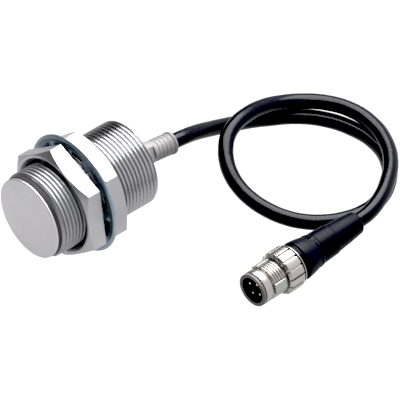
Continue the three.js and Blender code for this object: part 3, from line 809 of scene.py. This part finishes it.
def bend_relief():
    """Tapered boot with a small step and a chamfered end."""
    front, step = SHELL_TO + 0.1, 35.3
    outline = [
        (0, front), (5.55, front, 0.15), (5.3, step, 0.15), (5.05, step + 0.3, 0.15),
        (4.5, 42, 1.5), (3.95, PLUG_LENGTH - 0.6, 0.3), (3.4, PLUG_LENGTH, 0.2), (0, PLUG_LENGTH),
    ]
    mesh = lathe("bend_relief", rounded(outline, 0.15, closed=False, steps=4), 96, closed=False)
    piece = piece_of("bend_relief", mesh, PLUG_PLACE)
    return [dress(piece, BOOT_VINYL, "sensor", "boot_vinyl", "plug_boot")]


plug_pieces = plug_insert() + plug_pins() + plug_sleeve() + grip_band() + snap_ring()
plug_pieces += plug_collar() + bend_relief()


# ---- the parts kept from CAD ----
def dress_kept(material, *nodes):
    """Gives CAD nodes that keep their shape a material."""
    for name in nodes:
        node = frame["nodes"][name]
        node.data.materials.clear()
        node.data.materials.append(material)


COPPER_WIRE = turned_metal("copper_wire", (0.66, 0.28, 0.13), (0.52, 0.20, 0.09), 0.35).material
CLAMP_NICKEL = milled_metal("clamp_nickel", (0.52, 0.50, 0.48), (0.47, 0.45, 0.43), 0.4).material
WHITE_NYLON = moulded("white_nylon", (0.66, 0.65, 0.61), (0.76, 0.75, 0.71), 0.5).material
FERRITE_GREY = moulded("ferrite_grey", (0.03, 0.028, 0.03), (0.05, 0.047, 0.05), 0.65, 5000).material
BOARD_GREEN = moulded("board_green", (0.01, 0.11, 0.035), (0.02, 0.17, 0.055), 0.35, 1500).material
CHIP_EPOXY = moulded("chip_epoxy", (0.015, 0.015, 0.015), (0.03, 0.03, 0.03), 0.6, 6000).material
CHIP_CERAMIC = moulded("chip_ceramic", (0.48, 0.38, 0.26), (0.58, 0.48, 0.34), 0.5, 6000).material
LAMP_AMBER = moulded("lamp_amber", (0.85, 0.30, 0.03), (0.90, 0.38, 0.05), 0.2, 3000, 2e-6).material
WIRE_BROWN = moulded("wire_brown", (0.14, 0.05, 0.02), (0.20, 0.075, 0.03), 0.45).material
WIRE_BLUE = moulded("wire_blue", (0.02, 0.07, 0.35), (0.03, 0.11, 0.42), 0.45).material
WIRE_BLACK = moulded("wire_black", (0.008, 0.008, 0.008), (0.015, 0.015, 0.015), 0.45).material
CAST_RESIN = moulded("cast_resin", (0.02, 0.017, 0.014), (0.035, 0.03, 0.025), 0.3, 700, 1e-5).material
SEAL_RUBBER = moulded("seal_rubber", (0.01, 0.01, 0.01), (0.02, 0.02, 0.02), 0.6).material

dress_kept(WHITE_NYLON, "coil_case", "coil_bobbin")
dress_kept(FERRITE_GREY, "ferrite_core")
dress_kept(COPPER_WIRE, "sensing_coil")
dress_kept(PIN_GOLD, "bobbin_pin_1", "bobbin_pin_2")
dress_kept(BOARD_GREEN, "circuit_board")
dress_kept(
    CHIP_EPOXY, "oscillator_ic", "output_transistor", "surge_diode", "chip_resistor_1", "chip_resistor_2"
)
dress_kept(CHIP_CERAMIC, "chip_capacitor_1", "chip_capacitor_2")
dress_kept(LAMP_AMBER, "indicator_led")
dress_kept(WIRE_BROWN, "conductor_brown")
dress_kept(WIRE_BLUE, "conductor_blue")
dress_kept(WIRE_BLACK, "conductor_black")
dress_kept(CAST_RESIN, "potting_plug")
dress_kept(SEAL_RUBBER, "cap_seal_ring")
dress_kept(CLAMP_NICKEL, "cable_clamp")
dress_kept(CABLE_JACKET, "cable_gripped_end")
dress_kept(SHELL_PLASTIC, "plug_inner_mould")


# ---- floor and light ----
WHITE = 1.2  # what the camera sees as background, in floor and world
DARK_SIDE = Vector((-0.7, -0.7, -0.1))
ROOM_LIGHT = 1.15
DARK_SIDE_LIGHT = 0.1
DARK_SIDE_SPAN = (-0.35, 0.25)  # cosine of the angle to DARK_SIDE, from full light to dark
FLOOR_SIZE = 6
FLOOR_GLOW = (0.25, 0.7)
FLOOR_GLOW_SPAN = (-0.09, -0.04)
SOFTBOX_CENTRE = (-0.09, 0.225, 0.3)
SOFTBOX_AIM = (-0.09, 0.225, 0.0)
SOFTBOX_SIZE = (0.42, 0.45)
SOFTBOX_RADIANCE = 8.5
BLACK_POINT = 0.04


def make_floor():
    """White paper to the camera; in reflections a grey floor that glows, more towards +X."""
    bpy.ops.mesh.primitive_plane_add(size=FLOOR_SIZE, location=(0, 0, CAD_BOX[0].z))
    floor = bpy.context.object
    floor.name = "floor"
    look = Look("floor_paper", (0.14, 0.14, 0.14), Roughness=0.8, Specular_IOR_Level=0.0)
    look.shader.inputs["Emission Color"].default_value = (1, 1, 1, 1)
    across = look.node("ShaderNodeSeparateXYZ", {"Vector": look.place}).outputs["X"]
    look.set("Emission Strength", look.between(across, *FLOOR_GLOW, *FLOOR_GLOW_SPAN))
    look.bump(look.noise(look.place, 500, 2), 2e-5)
    white = look.node("ShaderNodeEmission", {"Strength": WHITE}).outputs[0]
    seen = look.node("ShaderNodeLightPath").outputs["Is Camera Ray"]
    either = look.node("ShaderNodeMixShader", {0: seen, 1: look.shader.outputs[0], 2: white})
    output = look.tree.nodes["Material Output"]
    look.tree.links.new(either.outputs[0], output.inputs["Surface"])
    floor.data.materials.append(look.material)


def make_world():
    """White behind the object; in reflections a pale room, dark towards its front and left."""
    world = bpy.data.worlds.new("studio")
    bpy.context.scene.world = world
    world.use_nodes = True
    tree = world.node_tree
    direction = tree.nodes.new("ShaderNodeTexCoord").outputs["Generated"]
    facing = tree.nodes.new("ShaderNodeVectorMath")
    facing.operation = "DOT_PRODUCT"
    facing.inputs[1].default_value = DARK_SIDE.normalized()
    tree.links.new(direction, facing.inputs[0])
    shade = tree.nodes.new("ShaderNodeMapRange")
    shade.interpolation_type = "SMOOTHSTEP"
    settings = dict(zip(("From Min", "From Max"), DARK_SIDE_SPAN))
    settings.update({"To Min": ROOM_LIGHT, "To Max": DARK_SIDE_LIGHT})
    for socket, value in settings.items():
        shade.inputs[socket].default_value = value
    tree.links.new(facing.outputs["Value"], shade.inputs["Value"])
    room = tree.nodes["Background"]
    room.inputs["Color"].default_value = (0.98, 0.98, 1, 1)
    tree.links.new(shade.outputs["Result"], room.inputs["Strength"])
    white = tree.nodes.new("ShaderNodeBackground")
    white.inputs["Strength"].default_value = WHITE
    seen = tree.nodes.new("ShaderNodeLightPath").outputs["Is Camera Ray"]
    either = tree.nodes.new("ShaderNodeMixShader")
    tree.links.new(seen, either.inputs[0])
    tree.links.new(room.outputs[0], either.inputs[1])
    tree.links.new(white.outputs[0], either.inputs[2])
    tree.links.new(either.outputs[0], tree.nodes["World Output"].inputs["Surface"])


def make_softbox():
    """A large square light overhead, hidden from the camera."""
    width, length = SOFTBOX_SIZE
    data = bpy.data.lights.new("overhead", "AREA")
    data.shape = "RECTANGLE"
    data.size = width
    data.size_y = length
    data.energy = SOFTBOX_RADIANCE * math.pi * width * length
    light = bpy.data.objects.new("overhead", data)
    bpy.context.scene.collection.objects.link(light)
    light.location = SOFTBOX_CENTRE
    light.rotation_mode = "QUATERNION"
    shine = Vector(SOFTBOX_AIM) - Vector(SOFTBOX_CENTRE)
    light.rotation_quaternion = shine.to_track_quat("-Z", "Y")
    light.visible_camera = False


def set_tone():
    """Plain sRGB tone, with the darkest levels pulled down to black."""
    view = bpy.context.scene.view_settings
    view.view_transform = "Standard"
    view.use_curve_mapping = True
    view.curve_mapping.black_level = (BLACK_POINT, BLACK_POINT, BLACK_POINT)
    view.curve_mapping.update()


make_floor()
make_world()
make_softbox()
set_tone()
